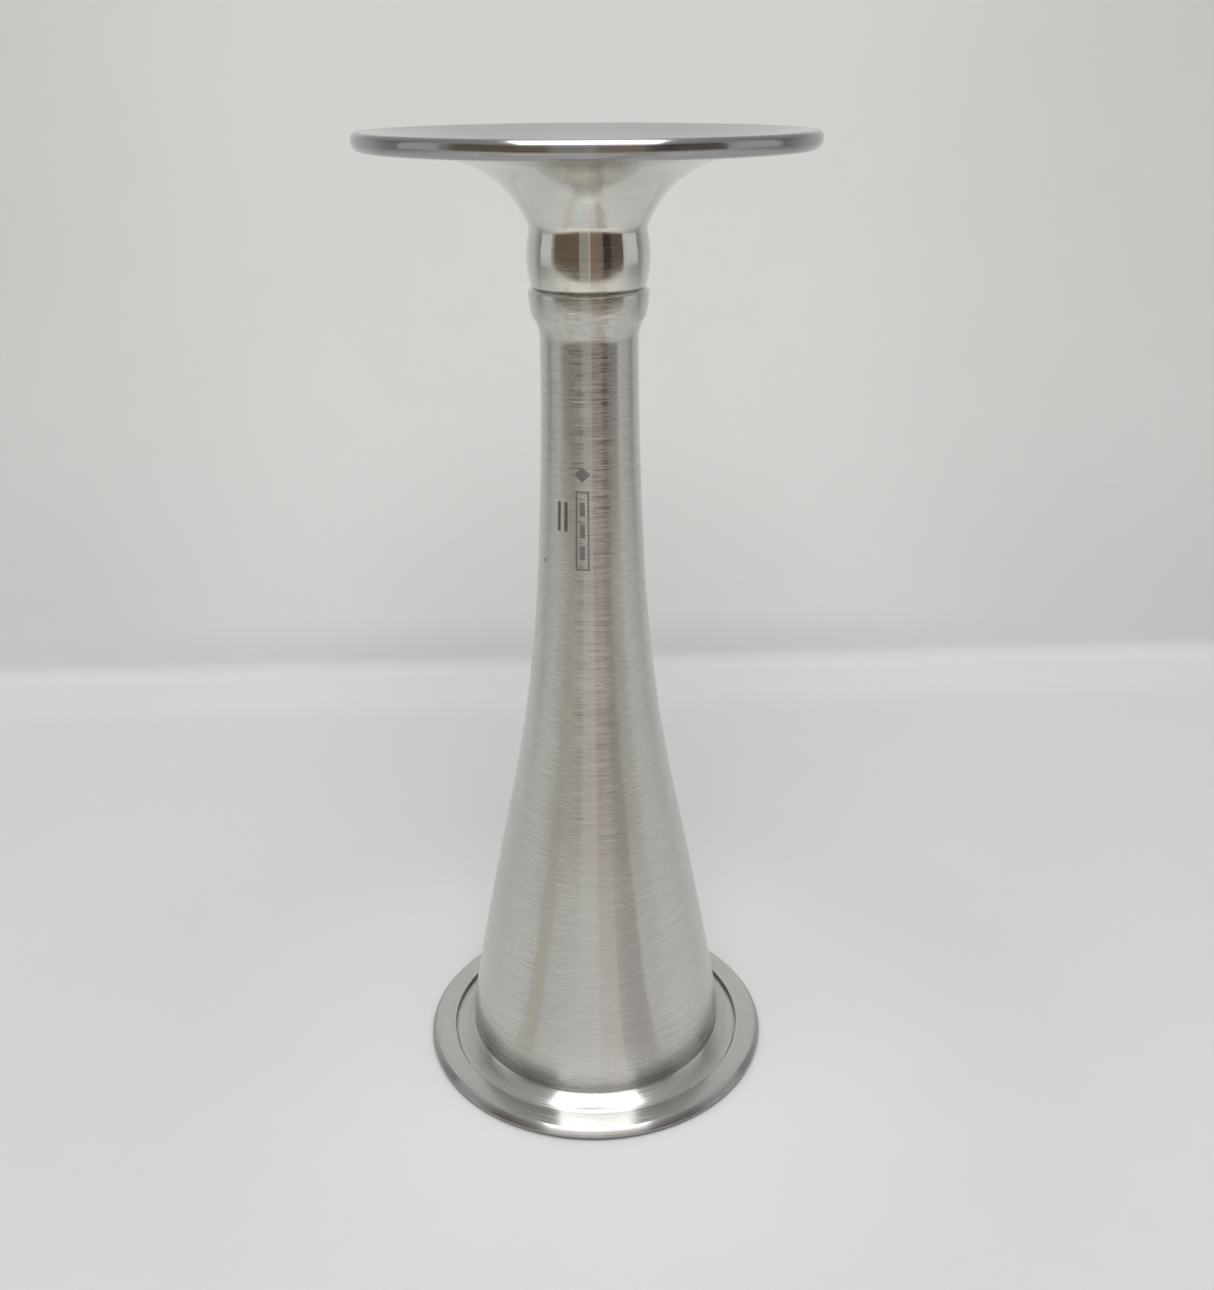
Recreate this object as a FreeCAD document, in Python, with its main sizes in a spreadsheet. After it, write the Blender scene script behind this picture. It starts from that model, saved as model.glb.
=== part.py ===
"""Ear plate, horn and foot ring of a fetal listening horn, turned in aluminium, in millimetres.

The axis is +Z, the foot stands on Z = 0 and the ear plate faces up.
"""

import FreeCAD, Part
import math
import os
import Sketcher

SIZES = {
    # overall
    "total_height": 155.0,
    "bore_radius": 4.5,
    # horn: bell, cone and neck
    "bell_radius": 22.2,
    "bell_foot_height": 3.1,
    "bell_curve": 60.0,
    "cone_low_radius": 20.96,
    "cone_low_height": 13.9,
    "cone_curve": 1500.0,
    "cone_high_radius": 13.7,
    "cone_high_height": 50.5,
    "flare_curve": 285.0,
    "neck_low_radius": 8.3,
    "neck_low_height": 94.5,
    "neck_curve": 650.0,
    "neck_radius": 7.36,
    "neck_height": 126.2,
    "collar_cove": 2.6,
    "collar_low_radius": 8.35,
    "collar_low_height": 129.4,
    "collar_curve": 12.0,
    "collar_radius": 8.9,
    "collar_edge": 0.35,
    "bell_wall": 1.8,
    "throat_radius": 8.0,
    "throat_height": 70.0,
    "throat_curve": 178.0,
    "bore_low_height": 105.0,
    # joint between horn and ear plate
    "seat_height": 133.6,
    "socket_radius": 6.0,
    "socket_depth": 9.5,
    "fit_clearance": 0.05,
    "spigot_length": 9.2,
    "spigot_lead": 0.4,
    # flange and foot ring
    "flange_radius": 25.62,
    "flange_height": 1.38,
    "cove_curve": 4.9,
    "mouth_edge": 1.0,
    "foot_inset": 0.1,
    "seat_radius": 24.0,
    "shelf_height": 0.85,
    "seam_width": 0.28,
    "lip_height": 2.05,
    "crown_curve": 20.0,
    "shoulder_radius": 29.25,
    "shoulder_height": 1.95,
    "shoulder_curve": 12.0,
    "ring_radius": 30.18,
    "ring_widest_height": 0.9,
    "ring_under_curve": 1.1,
    "foot_radius": 29.3,
    # ear plate
    "boss_low_radius": 8.5,
    "boss_low_height": 134.05,
    "boss_curve": 15.3,
    "waist_radius": 8.59,
    "waist_height": 141.6,
    "waist_cove": 3.6,
    "throat_out_radius": 9.2,
    "throat_out_height": 143.5,
    "flare_out_curve": 14.5,
    "flare_out_radius": 19.0,
    "flare_out_height": 151.3,
    "under_curve": 32.0,
    "under_radius": 23.5,
    "under_height": 152.0,
    "plate_radius": 32.73,
    "rim_low_radius": 31.3,
    "rim_low_height": 152.5,
    "rim_under_curve": 1.35,
    "rim_side_height": 153.75,
    "rim_edge": 0.85,
    "rim_land_radius": 30.9,
    "dish_curve": 130.0,
    "dish_radius": 9.5,
    "dish_depth": 2.2,
    "entry_curve": 4.6,
    "entry_depth": 7.0,
}


def make_sheet(doc):
    """Spreadsheet with one named cell for each driving dimension."""
    sheet = doc.addObject("Spreadsheet::Sheet", "Sizes")
    for row, (name, number) in enumerate(SIZES.items(), start=1):
        sheet.set(f"A{row}", name)
        sheet.set(f"B{row}", str(number))
        sheet.setAlias(f"B{row}", name)
    doc.recompute()
    return sheet


def bound(expression):
    """Expression with every size name read from the spreadsheet."""
    words = expression.split()
    return " ".join(f"Sizes.{word}" if word in SIZES else word for word in words)


def arc_between(start, end, bend):
    """Arc from start to end; bend is its radius, positive when it turns left."""
    chord = end.sub(start)
    middle = start.add(end).multiply(0.5)
    rise = math.sqrt(bend**2 - (chord.Length / 2) ** 2)
    left = FreeCAD.Vector(-chord.y, chord.x, 0).normalize()
    centre = middle.add(left.multiply(math.copysign(rise, bend)))
    angles = [math.atan2(p.y - centre.y, p.x - centre.x) for p in (start, end)]
    if bend < 0:
        angles.reverse()
    circle = Part.Circle(centre, FreeCAD.Vector(0, 0, 1), abs(bend))
    return Part.ArcOfCircle(circle, angles[0], angles[1])


def turned_piece(doc, label, corners):
    """Body revolved about Z from a closed half outline.

    A corner is (radius, height) or (radius, height, bend) in words of the sheet.
    The bend is the radius of the arc to the next corner, and turns left unless it starts with "-".
    """
    body = doc.addObject("PartDesign::Body", label)
    body.Label = label
    plane = next(f for f in body.Origin.OriginFeatures if f.Role == "XZ_Plane")
    sketch = body.newObject("Sketcher::SketchObject", f"{label}_outline")
    sketch.AttachmentSupport = (plane, [""])
    sketch.MapMode = "FlatFace"

    def value(expression):
        return float(sketch.evalExpression(bound(expression)))

    points = [FreeCAD.Vector(value(c[0]), value(c[1]), 0) for c in corners]
    ends = []
    for index, corner in enumerate(corners):
        start, end = points[index], points[(index + 1) % len(points)]
        if len(corner) == 3:
            sketch.addGeometry(arc_between(start, end, value(corner[2])), False)
        else:
            sketch.addGeometry(Part.LineSegment(start, end), False)
        runs_back = len(corner) == 3 and corner[2].startswith("-")
        ends.append((2, 1) if runs_back else (1, 2))

    def bind(constraint, expression):
        number = sketch.addConstraint(constraint)
        sketch.setExpression(f"Constraints[{number}]", bound(expression))

    for index, corner in enumerate(corners):
        first, last = ends[index]
        after = (index + 1) % len(corners)
        sketch.addConstraint(Sketcher.Constraint("Coincident", index, last, after, ends[after][0]))
        spot = points[index]
        bind(Sketcher.Constraint("DistanceX", -1, 1, index, first, spot.x), corner[0])
        bind(Sketcher.Constraint("DistanceY", -1, 1, index, first, spot.y), corner[1])
        if len(corner) == 3:
            bend = corner[2].lstrip("- ")
            bind(Sketcher.Constraint("Radius", index, value(bend)), bend)
    turned = body.newObject("PartDesign::Revolution", f"{label}_turned")
    turned.Profile = sketch
    turned.ReferenceAxis = (sketch, ["V_Axis"])
    turned.Angle = 360.0
    body.Tip = turned
    return body


def make_horn_body(doc):
    """Bell, cone, neck and collar, with the flange and spigot that carry the foot ring."""
    return turned_piece(doc, "horn_body", [
        ("bell_radius - bell_wall + mouth_edge", "foot_inset"),
        ("seat_radius", "foot_inset"),
        ("seat_radius", "shelf_height"),
        ("flange_radius", "shelf_height"),
        ("flange_radius", "flange_height", "- cove_curve"),
        ("bell_radius", "bell_foot_height", "bell_curve"),
        ("cone_low_radius", "cone_low_height", "cone_curve"),
        ("cone_high_radius", "cone_high_height", "- flare_curve"),
        ("neck_low_radius", "neck_low_height", "- neck_curve"),
        ("neck_radius", "neck_height", "- collar_cove * 2"),
        ("collar_low_radius", "collar_low_height", "collar_curve"),
        ("collar_radius", "seat_height - collar_edge"),
        ("collar_radius - collar_edge", "seat_height"),
        ("socket_radius", "seat_height"),
        ("socket_radius", "seat_height - socket_depth"),
        ("bore_radius", "seat_height - socket_depth"),
        ("bore_radius", "bore_low_height", "throat_curve"),
        ("throat_radius", "throat_height"),
        ("cone_low_radius - bell_wall", "cone_low_height", "- ( bell_curve - bell_wall )"),
        ("bell_radius - bell_wall", "foot_inset + mouth_edge", "mouth_edge"),
    ])


def make_foot_ring(doc):
    """Rounded ring pressed round the foot from below; the flange rests on its inner shelf."""
    return turned_piece(doc, "foot_ring", [
        ("seat_radius", "0"),
        ("foot_radius", "0", "ring_under_curve"),
        ("ring_radius", "ring_widest_height", "shoulder_curve"),
        ("shoulder_radius", "shoulder_height", "crown_curve"),
        ("flange_radius + seam_width", "lip_height"),
        ("flange_radius + seam_width", "shelf_height"),
        ("seat_radius", "shelf_height"),
    ])


def make_ear_plate(doc):
    """Dished disc on a flared throat and barrel boss, with the spigot that enters the collar."""
    return turned_piece(doc, "ear_plate", [
        ("bore_radius", "seat_height - spigot_length"),
        ("socket_radius - fit_clearance - spigot_lead", "seat_height - spigot_length"),
        ("socket_radius - fit_clearance", "seat_height - spigot_length + spigot_lead"),
        ("socket_radius - fit_clearance", "seat_height"),
        ("collar_radius - 2 * collar_edge", "seat_height"),
        ("boss_low_radius", "boss_low_height", "boss_curve"),
        ("waist_radius", "waist_height", "- waist_cove"),
        ("throat_out_radius", "throat_out_height", "- flare_out_curve"),
        ("flare_out_radius", "flare_out_height", "- under_curve"),
        ("under_radius", "under_height"),
        ("rim_low_radius", "rim_low_height", "rim_under_curve"),
        ("plate_radius", "rim_side_height"),
        ("plate_radius", "total_height - rim_edge", "rim_edge"),
        ("plate_radius - rim_edge", "total_height"),
        ("rim_land_radius", "total_height", "- dish_curve"),
        ("dish_radius", "total_height - dish_depth", "entry_curve"),
        ("bore_radius", "total_height - entry_depth"),
    ])


def check(doc, bodies):
    """Stop before anything is written if an object failed or a shape is not a good solid."""
    for item in doc.Objects:
        if "Invalid" in item.State or "Error" in item.State:
            raise RuntimeError(f"{item.Name} did not build: {item.State}")
    for body in bodies:
        if body.Shape.isNull() or not body.Shape.isValid() or len(body.Shape.Solids) != 1:
            raise RuntimeError(f"{body.Label} is not one valid solid")


def main():
    doc = FreeCAD.newDocument("listening_horn")
    make_sheet(doc)
    bodies = [make_horn_body(doc), make_foot_ring(doc), make_ear_plate(doc)]
    doc.recompute()
    check(doc, bodies)
    os.makedirs("parts", exist_ok=True)
    for body in bodies:
        body.Placement = FreeCAD.Placement()
        body.Shape.exportStep(os.path.join("parts", f"{body.Label}.step"))
        print(f"{body.Label}: {body.Shape.Volume / 1000:.2f} cm3")


main()
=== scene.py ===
"""Looks of a turned aluminium fetal listening horn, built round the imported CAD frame, in metres."""

import math

import bpy
from mathutils import Matrix, Vector


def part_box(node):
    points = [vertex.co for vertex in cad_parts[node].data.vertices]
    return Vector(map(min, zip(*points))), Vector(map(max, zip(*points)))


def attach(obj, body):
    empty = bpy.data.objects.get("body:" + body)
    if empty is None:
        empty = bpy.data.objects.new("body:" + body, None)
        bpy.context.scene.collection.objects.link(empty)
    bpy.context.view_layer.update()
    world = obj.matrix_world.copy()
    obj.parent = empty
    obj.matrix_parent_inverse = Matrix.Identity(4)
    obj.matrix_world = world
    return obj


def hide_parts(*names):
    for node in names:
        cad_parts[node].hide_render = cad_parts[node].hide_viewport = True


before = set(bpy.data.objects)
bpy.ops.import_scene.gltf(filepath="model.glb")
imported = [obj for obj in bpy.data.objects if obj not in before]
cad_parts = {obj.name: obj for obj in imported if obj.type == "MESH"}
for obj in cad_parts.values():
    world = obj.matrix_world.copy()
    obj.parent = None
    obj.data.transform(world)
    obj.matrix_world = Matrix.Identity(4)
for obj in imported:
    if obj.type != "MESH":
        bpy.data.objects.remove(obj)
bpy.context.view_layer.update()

MM = 0.001
LATHE_SEGMENTS = 256
ARC_STEP = math.radians(4.0)
LINE_STEP = 2.5 * MM
EDGE_WIDTH = 0.09 * MM

# Read from the CAD frame, so the visual follows it.
PLATE_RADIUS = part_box("ear_plate")[1].x
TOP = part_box("ear_plate")[1].z
SPIGOT_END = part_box("ear_plate")[0].z
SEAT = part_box("horn_body")[1].z
RING_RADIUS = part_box("foot_ring")[1].x
FLANGE_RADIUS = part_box("horn_body")[1].x
BORE = 4.5 * MM

NECK_RADIUS_MM = 7.9
MARK_CENTRE_MM = -1.3
ANISO_TURN = 0.25
TOOL_STRETCH = 0.16
TOOL_LINE_DENSITY = 1000.0
BUMP_STRENGTH = 0.31
BUMP_DEPTH = 0.012 * MM
DISH_COLOUR = (0.57, 0.575, 0.595, 1.0)
# Painted shade for the outer rim: the dark band the plate's rim reflects and the shade under the
# ring's outer edge.
RIM_SHADE_COLOUR = (0.27, 0.25, 0.255, 1.0)
PIT_COLOUR = (0.12, 0.11, 0.10, 1.0)
HAIR_COLOUR = (0.9, 0.9, 0.9, 1.0)
MARK_COLOUR = (0.13, 0.13, 0.13, 1.0)

FLOOR_FRONT = -0.26
FOLD_AT = 0.16
FOLD_RADIUS = 0.005
FOLD_TURN = math.radians(2.0)
SHEET_HALF_WIDTH = 0.9
WALL_HEIGHT = 0.9
CARD_DISTANCE = 0.8
CARD_LOW = -0.4
CARD_HIGH = 0.58
FLOOR_CARD_HEIGHT = 0.001


# ---------------------------------------------------------------- turned meshes

def arc(start, end, bend):
    """Points from start until just before end; bend is the radius, positive turning left."""
    chord = Vector(end) - Vector(start)
    rise = math.sqrt(bend**2 - chord.length_squared / 4)
    left = Vector((-chord.y, chord.x)).normalized()
    centre = (Vector(start) + Vector(end)) / 2 + left * math.copysign(rise, bend)
    swing = 2 * math.asin(chord.length / 2 / abs(bend)) * math.copysign(1, bend)
    steps = max(math.ceil(abs(swing) / ARC_STEP), math.ceil(chord.length / LINE_STEP))
    spoke = Vector(start) - centre
    return [centre + Matrix.Rotation(swing * i / steps, 2) @ spoke for i in range(steps)]


def line(start, end):
    """Points from start up to, not including, end."""
    steps = max(1, math.ceil((Vector(end) - Vector(start)).length / LINE_STEP))
    return [Vector(start).lerp(Vector(end), i / steps) for i in range(steps)]


def trace(corners):
    """Closed outline through (radius, height) corners; a third number bends what follows."""
    points = []
    for index, corner in enumerate(corners):
        after = corners[(index + 1) % len(corners)][:2]
        if len(corner) == 3:
            points += arc(corner[:2], after, corner[2])
        else:
            points += line(corner, after)
    return points


def soften_edges(piece):
    """Fine round on every sharp edge, with normals that follow the large faces."""
    rounds = piece.modifiers.new("edge_rounds", "BEVEL")
    rounds.width = EDGE_WIDTH
    rounds.segments = 3
    rounds.limit_method = "ANGLE"
    rounds.angle_limit = math.radians(18)
    rounds.use_clamp_overlap = True
    normals = piece.modifiers.new("face_normals", "WEIGHTED_NORMAL")
    normals.keep_sharp = True


def turned(name, corners, body, node):
    """Mesh turned about Z from a closed outline, riding a body and standing for a CAD node."""
    outline = trace(corners)
    count = len(outline)
    verts, along, travelled = [], [], 0.0
    for index, point in enumerate(outline):
        if index:
            travelled += (point - outline[index - 1]).length
        for step in range(LATHE_SEGMENTS):
            angle = 2 * math.pi * step / LATHE_SEGMENTS
            verts.append((point.x * math.cos(angle), point.x * math.sin(angle), point.y))
            along.append(travelled)
    faces = []
    for index in range(count):
        low, high = index * LATHE_SEGMENTS, (index + 1) % count * LATHE_SEGMENTS
        for step in range(LATHE_SEGMENTS):
            following = (step + 1) % LATHE_SEGMENTS
            faces.append((low + step, low + following, high + following, high + step))
    mesh = bpy.data.meshes.new(name)
    mesh.from_pydata(verts, [], faces)
    mesh.attributes.new("along", "FLOAT", "POINT").data.foreach_set("value", along)
    mesh.shade_smooth()
    piece = bpy.data.objects.new(name, mesh)
    bpy.context.scene.collection.objects.link(piece)
    soften_edges(piece)
    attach(piece, body)
    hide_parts(node)
    return piece


def make_horn():
    """Bell, cone, neck and collar in one piece, with the flange that carries the foot ring."""
    seat_bore = 24.0 * MM
    return turned("horn", [
        (21.4 * MM, 0.1 * MM),
        (seat_bore, 0.1 * MM),
        (seat_bore, 0.85 * MM),
        (FLANGE_RADIUS, 0.85 * MM),
        (FLANGE_RADIUS, 1.38 * MM, -4.9 * MM),
        (22.2 * MM, 3.1 * MM, 60 * MM),
        (20.96 * MM, 13.9 * MM, 1500 * MM),
        (13.7 * MM, 50.5 * MM, -285 * MM),
        (8.3 * MM, 94.5 * MM, -650 * MM),
        (7.36 * MM, 126.2 * MM, -5.2 * MM),
        (8.35 * MM, 129.4 * MM, 12 * MM),
        (8.9 * MM, SEAT - 0.35 * MM),
        (8.55 * MM, SEAT),
        (6.0 * MM, SEAT),
        (6.0 * MM, SEAT - 9.5 * MM),
        (BORE, SEAT - 9.5 * MM),
        (BORE, 105 * MM, 178 * MM),
        (8.0 * MM, 70 * MM),
        (19.16 * MM, 13.9 * MM, -58.2 * MM),
        (20.4 * MM, 1.1 * MM, 1.0 * MM),
    ], "horn", "horn_body")


def make_ring():
    """Rounded ring round the foot, its inner lip a little proud of the flange."""
    seam = FLANGE_RADIUS + 0.28 * MM
    return turned("rim_ring", [
        (24.0 * MM, 0.0),
        (29.3 * MM, 0.0, 1.1 * MM),
        (RING_RADIUS, 0.9 * MM, 12.0 * MM),
        (29.25 * MM, 1.95 * MM, 20.0 * MM),
        (seam, 2.05 * MM),
        (seam, 0.85 * MM),
        (24.0 * MM, 0.85 * MM),
    ], "horn", "foot_ring")


def make_ear_plate():
    """Dished disc on a flared throat and barrel boss, with the spigot below."""
    return turned("ear_disc", [
        (BORE, SPIGOT_END),
        (5.55 * MM, SPIGOT_END),
        (5.95 * MM, SPIGOT_END + 0.4 * MM),
        (5.95 * MM, SEAT),
        (8.2 * MM, SEAT),
        (8.5 * MM, 134.05 * MM, 15.3 * MM),
        (8.59 * MM, 141.6 * MM, -3.6 * MM),
        (9.2 * MM, 143.5 * MM, -14.5 * MM),
        (19.0 * MM, 151.3 * MM, -32 * MM),
        (23.5 * MM, 152.0 * MM),
        (31.3 * MM, 152.5 * MM, 1.35 * MM),
        (PLATE_RADIUS, 153.75 * MM),
        (PLATE_RADIUS, TOP - 0.85 * MM, 0.85 * MM),
        (PLATE_RADIUS - 0.85 * MM, TOP),
        (30.9 * MM, TOP, -130 * MM),
        (9.5 * MM, TOP - 2.2 * MM, 4.6 * MM),
        (BORE, TOP - 7 * MM),
    ], "earpiece", "ear_plate")


# ---------------------------------------------------------------- node helpers

class Nodes:
    """Short calls for building a node tree."""

    def __init__(self, tree):
        self.tree = tree
        tree.nodes.clear()

    def add(self, kind, **settings):
        node = self.tree.nodes.new(kind)
        for name, value in settings.items():
            setattr(node, name, value)
        return node

    def link(self, source, target):
        self.tree.links.new(source, target)

    def feed(self, socket, value):
        if isinstance(value, bpy.types.NodeSocket):
            self.link(value, socket)
        elif value is not None:
            socket.default_value = value

    def maths(self, operation, *values):
        node = self.add("ShaderNodeMath", operation=operation)
        for socket, value in zip(node.inputs, values):
            self.feed(socket, value)
        return node.outputs[0]

    def product(self, *factors):
        result = factors[0]
        for factor in factors[1:]:
            result = self.maths("MULTIPLY", result, factor)
        return result

    def hypot(self, x, y):
        squares = self.maths("ADD", self.maths("MULTIPLY", x, x), self.maths("MULTIPLY", y, y))
        return self.maths("SQRT", squares)

    def position(self):
        """Place on the object, whole and as x, y, z."""
        coords = self.add("ShaderNodeTexCoord").outputs["Object"]
        split = self.add("ShaderNodeSeparateXYZ")
        self.link(coords, split.inputs[0])
        return coords, *split.outputs

    def vector(self, x, y, z):
        node = self.add("ShaderNodeCombineXYZ")
        for socket, value in zip(node.inputs, (x, y, z)):
            self.feed(socket, value)
        return node.outputs[0]

    def noise(self, vector, scale, detail=2.0, rough=0.5):
        node = self.add("ShaderNodeTexNoise")
        node.inputs["Scale"].default_value = scale
        node.inputs["Detail"].default_value = detail
        node.inputs["Roughness"].default_value = rough
        self.link(vector, node.inputs["Vector"])
        return node.outputs[0]

    def remap(self, value, from_low, from_high, to_low, to_high, smooth=False):
        node = self.add("ShaderNodeMapRange", clamp=True)
        if smooth:
            node.interpolation_type = "SMOOTHSTEP"
        for socket, item in zip(node.inputs, (value, from_low, from_high, to_low, to_high)):
            self.feed(socket, item)
        return node.outputs[0]

    def mix(self, factor, first, second):
        node = self.add("ShaderNodeMix", data_type="RGBA")
        self.feed(node.inputs[0], factor)
        self.feed(node.inputs[6], first)
        self.feed(node.inputs[7], second)
        return node.outputs[2]


# ---------------------------------------------------------------- metal

def box_mask(n, u, v, centre, half, soft=0.06):
    """One inside a rectangle on the unrolled surface, millimetres, with soft edges."""
    past_u = n.maths("SUBTRACT", n.maths("ABSOLUTE", n.maths("SUBTRACT", u, centre[0])), half[0])
    past_v = n.maths("SUBTRACT", n.maths("ABSOLUTE", n.maths("SUBTRACT", v, centre[1])), half[1])
    return n.remap(n.maths("MAXIMUM", past_u, past_v), -soft, soft, 1.0, 0.0)


def etched_mark(n, x, y, z):
    """Mask of a plain mark on the neck: a lozenge, a ruled panel and two bars; no lettering."""
    around = n.maths("ARCTAN2", x, n.maths("MULTIPLY", y, -1.0))
    u = n.maths("MULTIPLY", around, NECK_RADIUS_MM)
    v = n.maths("DIVIDE", z, MM)
    lozenge_u = n.maths("ABSOLUTE", n.maths("SUBTRACT", u, MARK_CENTRE_MM))
    lozenge_v = n.maths("ABSOLUTE", n.maths("SUBTRACT", v, 107.4))
    lozenge = n.remap(n.maths("ADD", lozenge_u, lozenge_v), 1.15, 1.3, 1.0, 0.0)
    panel = box_mask(n, u, v, (MARK_CENTRE_MM, 98.7), (1.05, 6.2))
    inside = box_mask(n, u, v, (MARK_CENTRE_MM, 98.7), (0.75, 5.9))
    mask = n.maths("MAXIMUM", lozenge, n.maths("SUBTRACT", panel, inside))
    for height in (95.3, 98.7, 102.1):
        row = box_mask(n, u, v, (MARK_CENTRE_MM, height), (0.4, 1.1))
        mask = n.maths("MAXIMUM", mask, row)
    for side in (-5.1, -3.9):
        bar = box_mask(n, u, v, (side, 100.7), (0.28, 2.3))
        mask = n.maths("MAXIMUM", mask, bar)
    return mask


def tool_lines(n, around, along, seed):
    """Lines the lathe tool left round the axis: fine, very fine and broad ones."""
    lathe = n.vector(
        n.maths("MULTIPLY", around[0], TOOL_STRETCH),
        n.maths("MULTIPLY", around[1], TOOL_STRETCH),
        n.maths("MULTIPLY_ADD", along, TOOL_LINE_DENSITY, seed),
    )
    fine = n.noise(lathe, 4.0, detail=2.0, rough=0.7)
    micro = n.noise(lathe, 14.0, detail=1.0)
    broad = n.noise(lathe, 0.8, detail=1.0)
    return fine, micro, broad


def hairlines(n, coords, around, along):
    """Thin slanted scratches that come in patches."""
    slanted = n.vector(
        n.maths("MULTIPLY", around[0], 1.1),
        n.maths("MULTIPLY", around[1], 1.1),
        n.maths("MULTIPLY_ADD", along, 260.0, n.maths("MULTIPLY", around[0], 0.9)),
    )
    wander = n.noise(slanted, 1.6, detail=0.0)
    off_centre = n.maths("ABSOLUTE", n.maths("SUBTRACT", wander, 0.5))
    thread = n.remap(off_centre, 0.0, 0.006, 1.0, 0.0)
    patches = n.remap(n.noise(coords, 90.0, detail=1.0), 0.5, 0.62, 0.0, 1.0)
    return n.maths("MULTIPLY", thread, patches)


def tiny_pits(n, coords):
    """A few small round pits, in about one cell of fourteen."""
    cells = n.add("ShaderNodeTexVoronoi")
    cells.inputs["Scale"].default_value = 150.0
    n.link(coords, cells.inputs["Vector"])
    pick = n.add("ShaderNodeSeparateColor")
    n.link(cells.outputs["Color"], pick.inputs[0])
    spot = n.remap(cells.outputs["Distance"], 0.03, 0.07, 1.0, 0.0)
    return n.maths("MULTIPLY", spot, n.maths("GREATER_THAN", pick.outputs[0], 0.93))


def metal_output(n, base, roughness, height):
    """Brushed metal shader fed by the colour, roughness and relief given."""
    bump = n.add("ShaderNodeBump")
    bump.inputs["Strength"].default_value = BUMP_STRENGTH
    bump.inputs["Distance"].default_value = BUMP_DEPTH
    n.link(height, bump.inputs["Height"])
    shader = n.add("ShaderNodeBsdfPrincipled")
    shader.inputs["Metallic"].default_value = 1.0
    shader.inputs["Anisotropic"].default_value = 0.93
    shader.inputs["Anisotropic Rotation"].default_value = ANISO_TURN
    n.link(base, shader.inputs["Base Color"])
    n.link(roughness, shader.inputs["Roughness"])
    n.link(bump.outputs[0], shader.inputs["Normal"])
    tangent = n.add("ShaderNodeTangent", direction_type="RADIAL", axis="Z")
    n.link(tangent.outputs[0], shader.inputs["Tangent"])
    n.link(shader.outputs[0], n.add("ShaderNodeOutputMaterial").inputs[0])


def turned_metal(name, tint, seed, smooth, rough, rim_shade_from, marked):
    """Satin turned metal: tool lines, hairlines, tiny pits, and beyond a given radius a darker,
    rougher rim that is painted shade.
    """
    material = bpy.data.materials.new(name)
    material.use_nodes = True
    n = Nodes(material.node_tree)
    coords, x, y, z = n.position()
    along = n.add("ShaderNodeAttribute", attribute_name="along").outputs["Fac"]
    radius = n.hypot(x, y)
    around = n.maths("DIVIDE", x, radius), n.maths("DIVIDE", y, radius)
    fine_lines, micro_lines, broad_lines = tool_lines(n, around, along, seed)
    hairline = hairlines(n, coords, around, along)
    pits = tiny_pits(n, coords)
    # Beyond the given radius the metal is painted darker and made rougher: painted shade for the dark
    # band the rim reflects and the shade under the ring's edge.
    outer_rim = n.remap(radius, rim_shade_from, rim_shade_from + 0.4 * MM, 0.0, 1.0)
    painted_rim_shade = n.maths("MULTIPLY", outer_rim, 0.52)

    haze = n.noise(coords, 45.0, detail=3.0, rough=0.6)
    grooves = n.maths(
        "ADD",
        n.maths("MULTIPLY", micro_lines, 0.75),
        n.maths("MULTIPLY", fine_lines, 0.25),
    )
    roughness = n.remap(grooves, 0.36, 0.64, smooth, rough)
    roughness = n.maths("MULTIPLY", roughness, n.remap(haze, 0.3, 0.7, 0.9, 1.1))
    roughness = n.maths("ADD", roughness, n.maths("MULTIPLY", hairline, 0.08))
    roughness = n.maths("ADD", roughness, n.maths("MULTIPLY", painted_rim_shade, 0.12))

    dark = tuple(c * 0.89 for c in tint) + (1.0,)
    base = n.mix(n.remap(fine_lines, 0.25, 0.7, 0.0, 1.0), dark, tint + (1.0,))
    dished_face = n.remap(z, TOP - 2.4 * MM, TOP - 2.2 * MM, 0.0, 1.0)
    base = n.mix(dished_face, base, DISH_COLOUR)
    # Painted shade on the outer rim.
    base = n.mix(painted_rim_shade, base, RIM_SHADE_COLOUR)
    base = n.mix(n.maths("MULTIPLY", pits, 0.75), base, PIT_COLOUR)
    base = n.mix(n.maths("MULTIPLY", hairline, 0.25), base, HAIR_COLOUR)

    height = n.maths(
        "ADD",
        n.maths("MULTIPLY", fine_lines, 0.6),
        n.maths("MULTIPLY", broad_lines, 0.8),
    )
    height = n.maths("SUBTRACT", height, n.maths("MULTIPLY", hairline, 0.5))
    height = n.maths("SUBTRACT", height, n.maths("MULTIPLY", pits, 3.0))
    if marked:
        mark = etched_mark(n, x, y, z)
        base = n.mix(n.maths("MULTIPLY", mark, 0.8), base, MARK_COLOUR)
        roughness = n.maths("ADD", roughness, n.maths("MULTIPLY", mark, 0.2))
        height = n.maths("SUBTRACT", height, n.maths("MULTIPLY", mark, 0.8))
    metal_output(n, base, roughness, height)
    return material


# ---------------------------------------------------------------- studio

def emitter(name, colour):
    """Material that gives a plain light of one colour."""
    material = bpy.data.materials.new(name)
    material.use_nodes = True
    n = Nodes(material.node_tree)
    shader = n.add("ShaderNodeEmission")
    shader.inputs["Color"].default_value = (*colour, 1.0)
    n.link(shader.outputs[0], n.add("ShaderNodeOutputMaterial").inputs[0])
    return material


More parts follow.
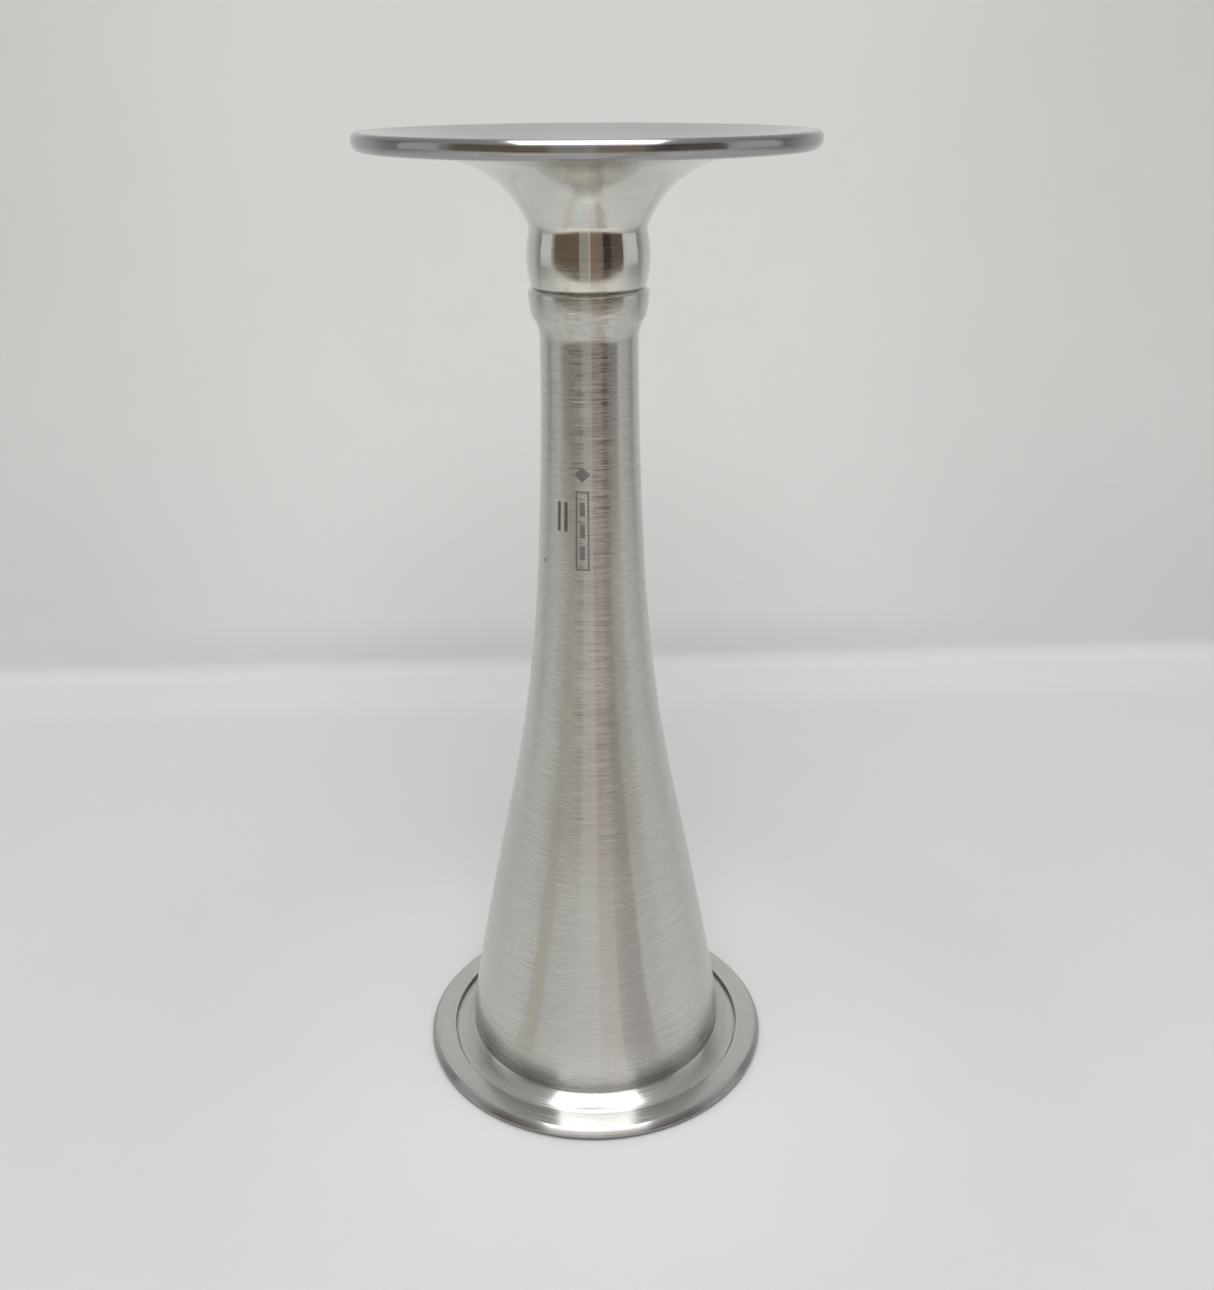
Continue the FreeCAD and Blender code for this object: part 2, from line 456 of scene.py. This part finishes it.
def paper_tone_and_painted_light(n, coords, x, y, z):
    """Grey level of the sheet, as a product of slow changes from place to place: painted light and
    shade, a painted contact shadow round the foot, and a faint mottle.
    """
    from_foot = n.hypot(x, y)
    past_crease = n.maths("SUBTRACT", y, FOLD_AT - 0.035)
    beside = n.remap(n.maths("ABSOLUTE", x), 0.06, 0.16, 1.0, 0.0, True)
    upright = n.remap(z, 0.004, 0.02, 0.0, 1.0, True)
    behind = n.maths("MULTIPLY", beside, upright)
    mottle = n.noise(coords, 14.0, detail=4.0, rough=0.6)
    # Painted light: a brighter floor in front of the foot and at its front edge, a painted glow round
    # the foot, and a lighter wall past the crease and behind the object. Painted shade: a base level
    # a touch darker low on the wall, and darker higher up the wall, at its top and far from the foot.
    painted_light_in_front = n.remap(y, -0.03, 0.07, 1.03, 1.0, True)
    low_wall = n.remap(z, 0.0, 0.08, 0.72, 0.735, True)
    painted_shade_up_wall = n.remap(z, 0.06, 0.20, 1.0, 0.92, True)
    painted_shade_wall_top = n.remap(z, 0.18, 0.26, 1.0, 0.75, True)
    painted_light_floor_front = n.remap(y, -0.13, -0.07, 1.22, 1.0, True)
    painted_light_past_crease = n.remap(past_crease, 0.0, 0.02, 1.0, 1.05, True)
    painted_glow_round_foot = n.remap(from_foot, 0.03, 0.085, 1.09, 1.0, True)
    contact_shadow = n.remap(from_foot, 0.0293, 0.0303, 0.3, 1.0, True)
    painted_shade_far_away = n.remap(from_foot, 0.22, 0.5, 1.0, 0.72, True)
    painted_light_behind = n.remap(behind, 0.0, 1.0, 1.0, 1.12)
    mottling = n.remap(mottle, 0.3, 0.7, 0.985, 1.015)
    return n.product(
        painted_light_in_front, low_wall, painted_shade_up_wall, painted_shade_wall_top, painted_light_floor_front, painted_light_past_crease,
        painted_glow_round_foot, contact_shadow, painted_shade_far_away, painted_light_behind, mottling,
    )


def paper():
    """Matt pale sheet with painted light and shade, a shade warmer near the camera and clear when
    seen from its back.
    """
    material = bpy.data.materials.new("studio_paper")
    material.use_nodes = True
    n = Nodes(material.node_tree)
    coords, x, y, z = n.position()
    tone = paper_tone_and_painted_light(n, coords, x, y, z)
    near = n.remap(y, -0.16, -0.05, 1.0, 0.0, True)
    sheet_colour = n.mix(near, (0.98, 0.978, 0.971, 1.0), (0.98, 0.958, 0.88, 1.0))
    colour = n.mix(tone, (0.0, 0.0, 0.0, 1.0), sheet_colour)
    shader = n.add("ShaderNodeBsdfDiffuse")
    n.link(colour, shader.inputs["Color"])
    clear = n.add("ShaderNodeBsdfTransparent")
    backs = n.add("ShaderNodeNewGeometry").outputs["Backfacing"]
    blend = n.add("ShaderNodeMixShader")
    n.link(backs, blend.inputs[0])
    n.link(shader.outputs[0], blend.inputs[1])
    n.link(clear.outputs[0], blend.inputs[2])
    n.link(blend.outputs[0], n.add("ShaderNodeOutputMaterial").inputs[0])
    return material


def stage_mesh(name, verts, faces, material):
    """Mesh of the studio, which is no part of the object."""
    mesh = bpy.data.meshes.new(name)
    mesh.from_pydata(verts, [], faces)
    mesh.materials.append(material)
    obj = bpy.data.objects.new(name, mesh)
    bpy.context.scene.collection.objects.link(obj)
    return obj


def ribbon(count):
    """Faces of a strip of quads laid through pairs of points."""
    return [(2 * i, 2 * i + 1, 2 * i + 3, 2 * i + 2) for i in range(count)]


def make_sheet(material):
    """Swept sheet: floor, a tight fold, then the upright wall behind the object."""
    steps = 10
    profile = [(FLOOR_FRONT, 0.0)]
    for i in range(steps + 1):
        a = math.pi / 2 * i / steps
        out = FOLD_AT - FOLD_RADIUS + FOLD_RADIUS * math.sin(a)
        profile.append((out, FOLD_RADIUS - FOLD_RADIUS * math.cos(a)))
    profile.append((FOLD_AT, WALL_HEIGHT))
    verts = [(side * SHEET_HALF_WIDTH, y, z) for y, z in profile for side in (-1, 1)]
    sheet = stage_mesh("sheet", verts, ribbon(len(profile) - 1), material)
    sheet.data.shade_smooth()
    sheet.rotation_euler.z = FOLD_TURN


def card(name, from_degrees, to_degrees, colour):
    """Upright curved card round the front of the object; it shows only in reflections."""
    steps = 12
    verts = []
    for i in range(steps + 1):
        a = math.radians(from_degrees + (to_degrees - from_degrees) * i / steps)
        spot = (CARD_DISTANCE * math.sin(a), -CARD_DISTANCE * math.cos(a))
        verts += [(*spot, CARD_LOW), (*spot, CARD_HIGH)]
    reflected_only(stage_mesh(name, verts, ribbon(steps), emitter(name, colour)))


def floor_card(name, from_degrees, to_degrees, near, far, colour):
    """Flat wedge just above the floor in front of the object; it shows only in reflections."""
    steps = 6
    verts = []
    for i in range(steps + 1):
        a = math.radians(from_degrees + (to_degrees - from_degrees) * i / steps)
        verts += [(r * math.sin(a), -r * math.cos(a), FLOOR_CARD_HEIGHT) for r in (near, far)]
    reflected_only(stage_mesh(name, verts, ribbon(steps), emitter(name, colour)))


def reflected_only(obj):
    """Keeps a studio piece out of the picture and out of the light on matt things."""
    obj.visible_camera = False
    obj.visible_diffuse = False
    obj.visible_shadow = False


def make_world():
    """Tent of light, brighter at both sides; the camera itself sees one even tone."""
    world = bpy.data.worlds.new("studio")
    bpy.context.scene.world = world
    world.use_nodes = True
    n = Nodes(world.node_tree)
    direction = n.add("ShaderNodeTexCoord").outputs["Generated"]
    split = n.add("ShaderNodeSeparateXYZ")
    n.link(direction, split.inputs[0])
    rise = n.remap(split.outputs[2], -0.25, 0.9, 0.0, 1.0, True)
    tent = n.mix(rise, (0.40, 0.40, 0.385, 1.0), (0.43, 0.43, 0.425, 1.0))
    behind = n.remap(split.outputs[1], 0.2, 0.9, 0.0, 1.0, True)
    tent = n.mix(behind, tent, (0.44, 0.44, 0.44, 1.0))
    sideways = n.remap(n.maths("ABSOLUTE", split.outputs[0]), 0.85, 0.97, 0.0, 1.0, True)
    tent = n.mix(sideways, tent, (0.64, 0.64, 0.63, 1.0))
    paths = n.add("ShaderNodeLightPath")
    seen = n.mix(paths.outputs["Is Camera Ray"], tent, (0.60, 0.60, 0.595, 1.0))
    background = n.add("ShaderNodeBackground")
    n.link(seen, background.inputs[0])
    n.link(background.outputs[0], n.add("ShaderNodeOutputWorld").inputs[0])


def make_strip(name, stations, radiance):
    """Overhead strip light, seen only in the metal; a station is y, z and half the width."""
    verts = [(side * half, y, z) for y, z, half in stations for side in (-1, 1)]
    faces = ribbon(len(stations) - 1)
    reflected_only(stage_mesh(name, verts, faces, emitter(name, (radiance,) * 3)))


def soft_light(name, place, tilt, size, watts):
    """Round soft light for the paper; the metal reflects the strip and the tent instead."""
    data = bpy.data.lights.new(name, "AREA")
    data.shape = "DISK"
    data.size = size
    data.energy = watts
    lamp = bpy.data.objects.new(name, data)
    lamp.location = place
    lamp.rotation_euler = (tilt, 0.0, 0.0)
    lamp.visible_glossy = False
    lamp.visible_camera = False
    bpy.context.scene.collection.objects.link(lamp)


def make_studio():
    """Pale swept sheet on a wide ground, soft lights, overhead strip and the cards in front."""
    material = paper()
    make_sheet(material)
    corners = [(-6.0, -6.0, -0.001), (6.0, -6.0, -0.001), (6.0, 6.0, -0.001), (-6.0, 6.0, -0.001)]
    ground = stage_mesh("ground", corners, [(0, 1, 2, 3)], material)
    ground.visible_glossy = False
    overhead = [
        (-0.64, 0.64, 0.43),
        (-0.16, 0.64, 0.235),
        (0.15, 0.64, 0.145),
    ]
    make_strip("strip", overhead, 3.9)
    soft_light("front_light", (0.0, -0.55, 0.75), math.atan2(0.55, 0.75), 0.5, 2.7)
    soft_light("top_light", (0.0, 0.0, 1.1), 0.0, 1.2, 4.9)
    bands = [
        ("card_edge", -72, -66, (0.34, 0.32, 0.30)),
        ("card_olive", -66, -17, (0.14, 0.11, 0.07)),
        ("card_grey", -17, 1, (0.33, 0.31, 0.275)),
        ("card_slit", 1, 3, (0.55, 0.54, 0.49)),
        ("card_brown", 3, 15, (0.225, 0.165, 0.125)),
        ("card_tan", 15, 27, (0.215, 0.155, 0.115)),
        ("card_black", 27, 42, (0.04, 0.03, 0.022)),
        ("card_dusk", 42, 67, (0.115, 0.09, 0.078)),
    ]
    for name, start, end, colour in bands:
        card(name, start, end, colour)
    floor_bands = [
        ("floor_olive", -57, -43, 0.036, 0.20, (0.60, 0.575, 0.49)),
        ("floor_grey", -46, 3, 0.064, 0.16, (0.66, 0.66, 0.665)),
        ("floor_pink", 3, 18, 0.040, 0.19, (0.69, 0.63, 0.60)),
        ("floor_dark", 19, 43, 0.036, 0.19, (0.51, 0.475, 0.455)),
        ("floor_cream", -40, 40, 0.20, 0.26, (1.0, 0.97, 0.86)),
    ]
    for name, start, end, near, far, colour in floor_bands:
        floor_card(name, start, end, near, far, colour)


# ---------------------------------------------------------------- camera

def make_camera():
    """Camera above and in front of the horn, at the reference view's angle."""
    place = Vector((-0.0001, -0.19644, 0.16152))
    pitch = 0.40836
    yaw = 0.012763
    roll = -0.004877
    forward = Vector((
        math.sin(yaw) * math.cos(pitch), math.cos(yaw) * math.cos(pitch), -math.sin(pitch),
    ))
    level = Vector((math.cos(yaw), -math.sin(yaw), 0.0))
    upright = level.cross(forward)
    right = level * math.cos(roll) + upright * math.sin(roll)
    up = upright * math.cos(roll) - level * math.sin(roll)
    data = bpy.data.cameras.new("camera")
    data.lens = 36.53
    data.sensor_width = 36.0
    data.clip_start = 0.01
    data.clip_end = 20.0
    camera = bpy.data.objects.new("camera", data)
    camera.matrix_world = Matrix((
        (right.x, up.x, -forward.x, place.x),
        (right.y, up.y, -forward.y, place.y),
        (right.z, up.z, -forward.z, place.z),
        (0.0, 0.0, 0.0, 1.0),
    ))
    bpy.context.scene.collection.objects.link(camera)
    bpy.context.scene.camera = camera


# ---------------------------------------------------------------- scene

# Piece, slot, tint, noise seed, smoothest and roughest finish, radius where the painted rim shade
# starts, mark.
finishes = [
    (make_horn, "horn_metal", (0.67, 0.667, 0.65), 0.0, 0.13, 0.36, 40 * MM, True),
    (make_ring, "ring_metal", (0.65, 0.645, 0.635), 41.0, 0.13, 0.30, 29.25 * MM, False),
    (make_ear_plate, "plate_metal", (0.74, 0.733, 0.695), 83.0, 0.09, 0.20, 31.4 * MM, False),
]
for make, slot_name, *finish in finishes:
    piece = make()
    piece.data.materials.append(turned_metal(slot_name, *finish))
make_world()
make_studio()
make_camera()
bpy.context.scene.view_settings.view_transform = "Standard"
